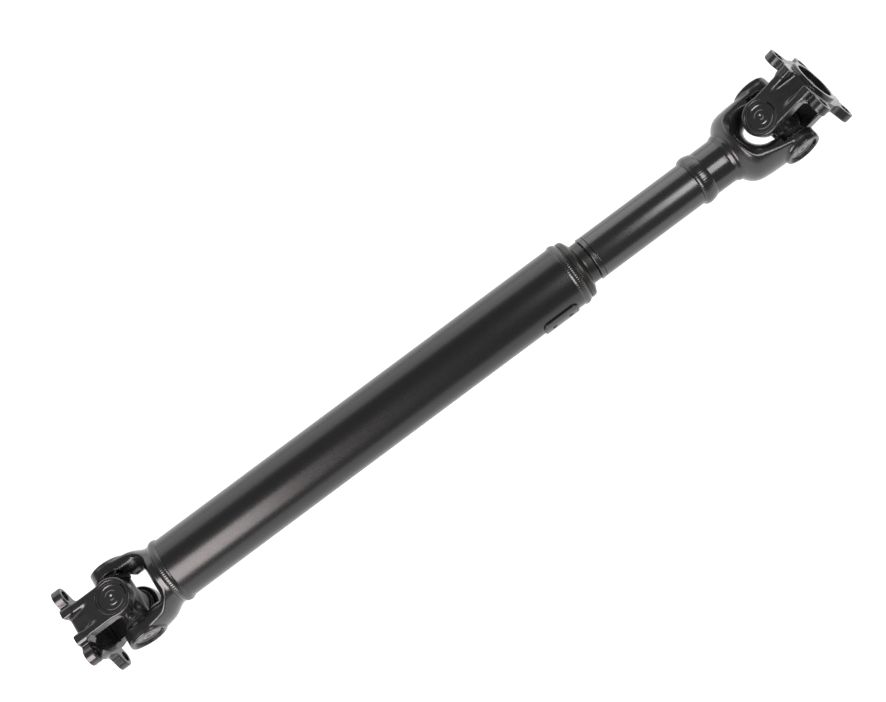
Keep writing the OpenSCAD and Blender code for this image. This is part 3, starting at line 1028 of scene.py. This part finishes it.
@dataclass
class UniversalJoint:
    """Everything between a flange and the shaft at one end: cross, cups, seals, rings."""

    end: str
    shaft_place: Placement
    cross_place: Placement
    shaft_body: str
    step: float = 0.8
    bearing: Bearing = field(default_factory=Bearing)
    spider: Spider = field(default_factory=Spider)

    def nipple(self) -> Shell:
        """The grease nipple: thread, hexagon, waist and ball, along +X before it is aimed."""
        thread_r, low, high = 2.6, 19.0, 22.5
        corners = [
            (13.0, 0.0, 0), (13.0, thread_r, 0), (low, thread_r, 0.2), (low, 3.4, 0.2),
            (high, 3.4, 0.3), (high, 2.7, 0.1), (23.4, 2.7, 0.3), (24.5, 1.7, 0.3),
            (25.4, 1.7, 0.2), (26.2, 2.3, 0.6), (27.6, 2.3, 0.8), (28.9, 1.2, 0.5),
            (29.2, 0.0, 0),
        ]
        outline = filleted(corners, 3)
        x, r = outline.T
        flat = (x >= low - 0.1) & (x <= high + 0.1) & (r > thread_r + 0.05)
        return turned(outline, 48, hexagon=flat)

    def build(self) -> None:
        """Builds and dresses the joint's own pieces."""
        end = self.end
        cross_body, flange_body = f"{end}_cross", f"{end}_flange"
        bearing, spider = self.bearing, self.spider
        aims = [aim @ X_TO_Z for aim in (Z_UP, Z_DOWN, Y_LEFT, Y_RIGHT)]
        seals = to_trunnions(bearing.seal(), aims)
        nipple = to_trunnions(self.nipple(), [rotation("x", 45) @ X_TO_Z])
        for name, slot, coat, node, shell in (
            ("cross_forging", "cross_steel", Coat.CROSS, "cross", spider.shell(self.step)),
            ("lip_seals", "seal_rubber", Coat.RUBBER, "cross_seals", seals),
            ("nipple", "nipple_steel", Coat.NIPPLE, "grease_nipple", nipple),
        ):
            piece = Piece(f"{end}_{name}", cross_body, slot, coat, (f"{end}_{node}",))
            piece.add(shell, self.cross_place)
        flange = ("flange", flange_body, self.cross_place)
        shaft = ("shaft", self.shaft_body, self.shaft_place)
        spots = ((flange, "upper"), (flange, "lower"), (shaft, "left"), (shaft, "right"))
        for ((side, body, place), where), aim in zip(spots, aims):
            name, node = f"{end}_{side}_bearing_{where}", f"{end}_{side}_cup_{where}"
            piece = Piece(name, body, "cup_steel", Coat.CUP, (node,))
            piece.add(to_trunnions(bearing.cup(), [aim]), place)
        for (side, body, place), ways in ((flange, (Z_UP, Z_DOWN)), (shaft, (Y_LEFT, Y_RIGHT))):
            name, node = f"{end}_{side}_circlips", f"{end}_{side}_snap_rings"
            piece = Piece(name, body, "ring_steel", Coat.RING, (node,))
            piece.add(to_trunnions(bearing.snap_ring(), ways), place)
            keep_cad(f"{end}_{side}_rollers", Coat.ROLLER)


# ---------------------------------------------------------------- tube side


@dataclass
class MainTube:
    """Tube, its welded ends and its balance weight."""

    start: float = 100.0
    end: float = 564.0
    wall: float = 2.4
    weight_from: float = 515.0
    weight_l: float = 39.0
    weight_half: float = 11.0
    weight_t: float = 1.8
    dimple_x: float = 9.5
    dimple_r: float = 2.4
    step: float = 0.8
    fine_step: float = 0.4

    def tube(self) -> Shell:
        """The drawn tube: a closed ring section carried round the axis."""
        start, end, inner, inset = self.start, self.end, TUBE_R - self.wall, 150
        corners = [
            (start, inner + 1.2, 0), (start, TUBE_R, 0.4), (start + inset, TUBE_R, 0),
            (end - inset, TUBE_R, 0), (end, TUBE_R, 0.4), (end, inner, 0.3),
            (start, inner, 0.3), (start, inner + 1.1, 0),
        ]
        return lathed(corners, 192)

    def weight(self, x: Array, y: Array, z: Array) -> Array:
        """Distance to the balance weight: a round-cornered plate bent to the tube, with
        two dimples where it was projection welded. Its middle faces -Y."""
        r = np.hypot(y, z)
        arc = np.arctan2(z, -y) * TUBE_R
        middle = self.weight_from + self.weight_l / 2
        plan = rectangle(x - middle, arc, self.weight_l / 2, self.weight_half, 6.0)
        plate = within(plan, slab(r, TUBE_R - 0.5, TUBE_R + self.weight_t), 1.0)
        dimple = np.hypot(np.abs(x - middle) - self.dimple_x, arc) - self.dimple_r
        return within(plate, -within(dimple, TUBE_R + 0.9 - r, 0.6), 0.8)

    def build(self) -> None:
        """Builds and dresses the tube's pieces."""
        tube = Piece("drawn_tube", "tube", "tube_paint", Coat.TUBE, ("main_tube",))
        tube.add(self.tube())
        TUBE_YOKE.add("yoke_forging_front", "tube", "tube_yoke", FRONT.then(ON_Y), self.step)
        low = (self.weight_from - 2, -36, -14)
        high = (self.weight_from + self.weight_l + 2, -26, 14)
        plate = Piece("balance_plate", "tube", "tube_paint", Coat.TUBE, ("balance_weight",))
        plate.add(skin(self.weight, low, high, self.fine_step))


@dataclass
class WeldBead:
    """A weld bead round the shaft, with the ripples of a rotating seam weld.

    The crown rises as sin(pi u^skew)^0.8 between its two feet, and the ripples are
    crescents: sin(n t + 2.6 (2u - 1)^2) along the angle t, fading to nothing at the feet.
    """

    name: str
    node: str
    body: str
    start: float
    start_r: float
    end: float
    end_r: float
    crown: float
    ripple: float = 0.12
    ripples: int = 92
    skew: float = 1.0
    rows: int = 22

    def shell(self) -> Shell:
        """The bead's surface, closed underneath."""
        u = np.linspace(0, 1, self.rows)
        hump = np.sin(np.pi * u**self.skew)
        x = self.start + (self.end - self.start) * u
        r = self.start_r + (self.end_r - self.start_r) * u + self.crown * hump**0.8
        under = min(self.start_r, self.end_r) - 1.5
        outline = np.vstack([np.stack([x, r], -1), [[self.end, under], [self.start, under]]])
        fade, bend = (np.append(f, [0, 0])[::-1] for f in (hump, (2 * u - 1) ** 2))

        def lift(row: Array, t: Array) -> Array:
            """Ripple height at a row and angle, with a slow wander of the bead's width."""
            wander = 0.12 * np.sin(5 * t + 1.0) + 0.08 * np.sin(11 * t)
            wave = np.sin(self.ripples * t + 2.6 * bend[row] + 0.6 * np.sin(7 * t))
            crescents = self.ripple * (wave - np.abs(wave) * 0.4)
            return fade[row] * (crescents + wander * self.ripple * 1.5)

        return turned(outline[::-1], 5 * self.ripples, closed=True, lift=lift)

    def build(self) -> None:
        """Builds and dresses the bead."""
        bead = Piece(self.name, self.body, "weld_paint", Coat.WELD, (self.node,))
        bead.add(self.shell(), crease=50)


@dataclass
class SplinedStub:
    """Turned stub: a collar against the tube, a smooth neck and the male splines."""

    collar_x: float = 568.0
    collar_r: float = 30.7
    neck_r: float = 21.2
    neck_end: float = 589.0
    spline_r: float = 17.5
    depth: float = 1.8
    teeth: int = 16
    spline_l: float = 100.0

    def collar(self) -> Shell:
        """Collar and neck: a spigot in the tube, a grooved collar and a rounded shoulder."""
        x, r, n, end = self.collar_x, self.collar_r, self.neck_r, self.neck_end
        corners = [
            (x - 3, 0.0, 0), (x - 3, 26.0, 0), (x, 26.0, 0), (x, r - 0.2, 0.3),
            (x + 2.2, r, 0.3), (x + 2.5, r - 0.9, 0.2), (x + 3.3, r - 0.9, 0.2),
            (x + 3.6, r, 0.4), (x + 8.4, r, 3.6), (x + 11.9, n + 2.6, 1.6),
            (x + 12.2, n + 0.4, 1.4), (x + 14.5, n, 0.5), (end, n, 0.5), (end, 15.0, 0),
            (end, 0.0, 0),
        ]
        return turned(filleted(corners, 7), 176)

    def splines(self) -> Shell:
        """The splined rod: its radius steps between root and crest round the turn."""
        x0, x1 = self.neck_end - 1, self.neck_end + self.spline_l
        root = self.spline_r - self.depth
        x = np.array([x0, x0, x0 + 20, x1 - 1.6, x1, x1])
        outline = np.stack([x, np.array([0, 1, 1, 1, 0.9, 0]) * root], -1)
        tall = np.array([0, 1, 1, 1, 0, 0], float)

        def lift(row: Array, t: Array) -> Array:
            """Tooth height: a trapezium wave with one tooth in each of the equal parts."""
            phase = np.abs(((t * self.teeth / (2 * np.pi)) + 0.5) % 1 - 0.5)
            return tall[row] * self.depth * np.clip((0.27 - phase) / 0.03, 0, 1)

        return turned(outline, self.teeth * 24, lift=lift)

    def build(self) -> None:
        """Builds and dresses the stub."""
        collar = Piece("stub_collar", "tube", "stub_paint", Coat.GREASED, ("splined_stub",))
        collar.add(self.collar())
        splines = Piece("stub_splines", "tube", "stub_paint", Coat.SPLINE)
        splines.add(self.splines(), crease=25)


@dataclass
class SlipSleeve:
    """Sleeve, dust cap, seal, yoke barrel and end plug of the sliding half."""

    cap_x: float = 589.8
    cap_l: float = 5.0
    outer_r: float = 22.4
    end: float = 712.6
    step: float = 0.8

    def sleeve(self) -> Shell:
        """The sleeve: a closed ring section, chamfered at the weld."""
        x, r, end = self.cap_x + self.cap_l + 0.4, self.outer_r, self.end
        corners = [
            (x, 19.7, 0), (x, r, 0.5), (x + 40, r, 0), (end, r, 0.4), (end, 17.8, 0.3),
            (x, 17.7, 0.3), (x, 19.6, 0),
        ]
        return lathed(corners, 160)

    def cap(self) -> Shell:
        """The dust cap: a pressed ring with a rolled front lip."""
        x, r = self.cap_x, self.outer_r + 0.25
        corners = [
            (x, 18.6, 0), (x, r - 0.3, 0.7), (x + 0.9, r + 0.35, 0.6), (x + 1.8, r - 0.1, 0.5),
            (x + self.cap_l, r - 0.1, 0.5), (x + self.cap_l, 21.3, 0.2), (x + 1.4, 21.3, 0.2),
            (x + 1.4, 18.6, 0.2), (x + 0.7, 18.5, 0.1),
        ]
        return lathed(corners, 160)

    def seal(self) -> Shell:
        """The rubber wiper inside the cap."""
        x = self.cap_x + 1.4
        inner, outer, end = 17.8, 19.6, x + 4
        corners = [
            (x, inner + 0.2, 0), (x, outer, 0.3), (end, outer, 0.3), (end, inner, 0.3),
            (x + 0.2, inner, 0.3),
        ]
        return lathed(corners, 96)

    def plug(self) -> Shell:
        """The pressed plug: a domed disc with a short skirt, its crown to the cross."""
        x = REAR_X - 64.5
        corners = [
            (x + 4.4, 0.0, 0), (x + 4.2, 8.0, 4.0), (x + 3.4, 16.2, 1.5), (x + 2.9, 17.7, 0.6),
            (x, 17.7, 0.2), (x, 16.6, 0.2), (x + 2.2, 15.4, 0.6), (x + 2.9, 0.0, 0),
        ]
        return lathed(corners, 112, closed=False)

    def build(self) -> None:
        """Builds and dresses the sliding half."""
        for name, slot, coat, node, shell in (
            ("sliding_sleeve", "tube_paint", Coat.SLEEVE, "slip_sleeve", self.sleeve()),
            ("sleeve_dust_cap", "tube_paint", Coat.SLEEVE, "dust_cap", self.cap()),
            ("sleeve_wiper", "seal_rubber", Coat.RUBBER, "dust_seal", self.seal()),
            ("barrel_plug", "plug_steel", Coat.FORGED, "sleeve_plug", self.plug()),
        ):
            Piece(name, "slip", slot, coat, (node,)).add(shell)
        place = REAR.then(rotation("z", 180) @ ON_Y)
        SLIP_YOKE.add("yoke_forging_slip", "slip", "slip_yoke", place, self.step)


# ---------------------------------------------------------------- studio


def stand(where: Array, back: Array, up: Array) -> Matrix:
    """The matrix of a camera or lamp.

    Args:
        where: Its place in metres.
        back: The direction it looks away from.
        up: Roughly its upward direction.

    Returns:
        The object's matrix.
    """
    back = back / np.linalg.norm(back)
    side = np.cross(up, back)
    side = side / np.linalg.norm(side)
    columns = np.stack([side, np.cross(back, side), back, where], -1)
    return Matrix(columns.tolist() + [[0, 0, 0, 1]])


@dataclass
class Studio:
    """Luminous pale table, four soft boxes and the camera.

    The table glows, so the shaft's underside is lit and no shadow shows. Each light faces
    the shaft's axis: two bright keys high on the -Y side, and two broad, dim walls low on
    the +Y side.
    """

    camera_mm: Tuple[float, float, float] = (408.8, -423.5, 1194.1)
    view: Tuple[float, float, float] = (0.0144, 0.3440, -0.9389)
    up: Tuple[float, float, float] = (0.5967, 0.7505, 0.2841)
    lens: float = 54.36
    sensor: float = 36.0
    table_x: float = 0.4
    table_half: float = 6.0
    table_gap: float = 0.0005
    table_glow: float = 1.0
    ambient: float = 0.2

    def table(self) -> None:
        """A wide flat table top just under the object."""
        z, half = CAD_BOX[0][2] - self.table_gap, self.table_half
        near, far = self.table_x - half, self.table_x + half
        corners = [(near, -half, z), (far, -half, z), (far, half, z), (near, half, z)]
        data = bpy.data.meshes.new("light_table")
        data.from_pydata(corners, [], [(0, 1, 2, 3)])
        top = linked("light_table", data)
        finish = bpy.data.materials.new("opal_acrylic_light_table")
        finish.use_nodes = True
        tree = finish.node_tree
        tree.nodes.clear()
        shader = add_node(
            tree,
            "BsdfPrincipled",
            {
                "Base Color": linear("#959595"),
                "Roughness": 0.9,
                "Emission Color": (1.0, 1.0, 1.0, 1.0),
                "Emission Strength": self.table_glow,
            },
        )
        add_node(tree, "OutputMaterial", {}, {"Surface": shader.outputs["BSDF"]})
        data.materials.append(finish)

    def softbox(
        self,
        name: str,
        where: Array,
        aim: Array,
        size: Tuple[float, float],
        radiance: float,
        tint: str,
    ) -> None:
        """A rectangular area light.

        Args:
            name: The light's name.
            where: Its centre in metres.
            aim: The point it faces.
            size: Width and height in metres.
            radiance: Its brightness when looked at, in units of the white table.
            tint: Its colour as sRGB hex.
        """
        data = bpy.data.lights.new(name, "AREA")
        data.shape = "RECTANGLE"
        data.size, data.size_y = size
        data.energy = radiance * math.pi * size[0] * size[1]
        data.color = linear(tint)[:3]
        lamp = linked(name, data)
        lamp.matrix_basis = stand(where, where - aim, np.array([0.0, 0.0, 1.0]))

    def camera(self) -> None:
        """The camera, square to the shaft and rolled so that it runs up to the right."""
        data = bpy.data.cameras.new("camera")
        data.lens, data.sensor_width = self.lens, self.sensor
        data.clip_start, data.clip_end = 0.05, 50.0
        eye = linked("camera", data)
        where, back = np.array(self.camera_mm) * MM, -np.array(self.view)
        eye.matrix_basis = stand(where, back, np.array(self.up))
        bpy.context.scene.camera = eye

    def build(self) -> None:
        """Sets up the table, lights, world and camera."""
        self.table()
        # Place along the shaft, angle above +Y and distance, then size, brightness and tint.
        for name, x, turn, reach, size, radiance, tint in (
            ("key_left", -0.66, 131.0, 1.3, (1.25, 1.15), 10.0, "#fff6f4"),
            ("key_right", 1.36, 113.0, 1.3, (0.7, 0.65), 8.5, "#ffffff"),
            ("wall_left", -0.45, 24.0, 1.9, (2.1, 1.5), 1.7, "#ffffff"),
            ("wall_right", 1.70, 24.0, 1.9, (2.2, 1.5), 2.1, "#ffffff"),
        ):
            angle = math.radians(turn)
            spot = np.array([x, reach * math.cos(angle), reach * math.sin(angle)])
            self.softbox(name, spot, np.array([x, 0.0, 0.0]), size, radiance, tint)
        world = bpy.data.worlds.new("studio")
        world.use_nodes = True
        sky = world.node_tree.nodes["Background"]
        sky.inputs["Color"].default_value = linear("#ffffff")
        sky.inputs["Strength"].default_value = self.ambient
        bpy.context.scene.world = world
        bpy.context.scene.view_settings.view_transform = "Standard"
        self.camera()


def main() -> None:
    """Builds every sub-assembly in order, then the studio."""
    MainTube().build()
    WeldBead("bead_front", "front_weld", "tube", 93.5, 31.3, 103.0, TUBE_R, 2.0).build()
    WeldBead("bead_rear", "rear_weld", "tube", 561.7, TUBE_R, 570.3, 30.7, 1.6).build()
    SplinedStub().build()
    SlipSleeve().build()
    WeldBead(
        "bead_neck", "neck_weld", "slip", 710.6, 22.4, 725.6, 23.2, 2.9, 0.06, 66, 0.65
    ).build()
    UniversalJoint("front", FRONT, FRONT, "tube").build()
    UniversalJoint("rear", REAR, REAR_FOLDED, "slip").build()
    for end, pilot, place in (
        ("front", Pilot.RECESS, FRONT),
        ("rear", Pilot.SPIGOT, REAR_FOLDED.then(rotation("z", 180))),
    ):
        FlangeYoke(pilot).add(
            f"flange_forging_{end}", f"{end}_flange", f"{end}_flange_yoke", place
        )
    Studio().build()


if __name__ == "__main__":
    main()
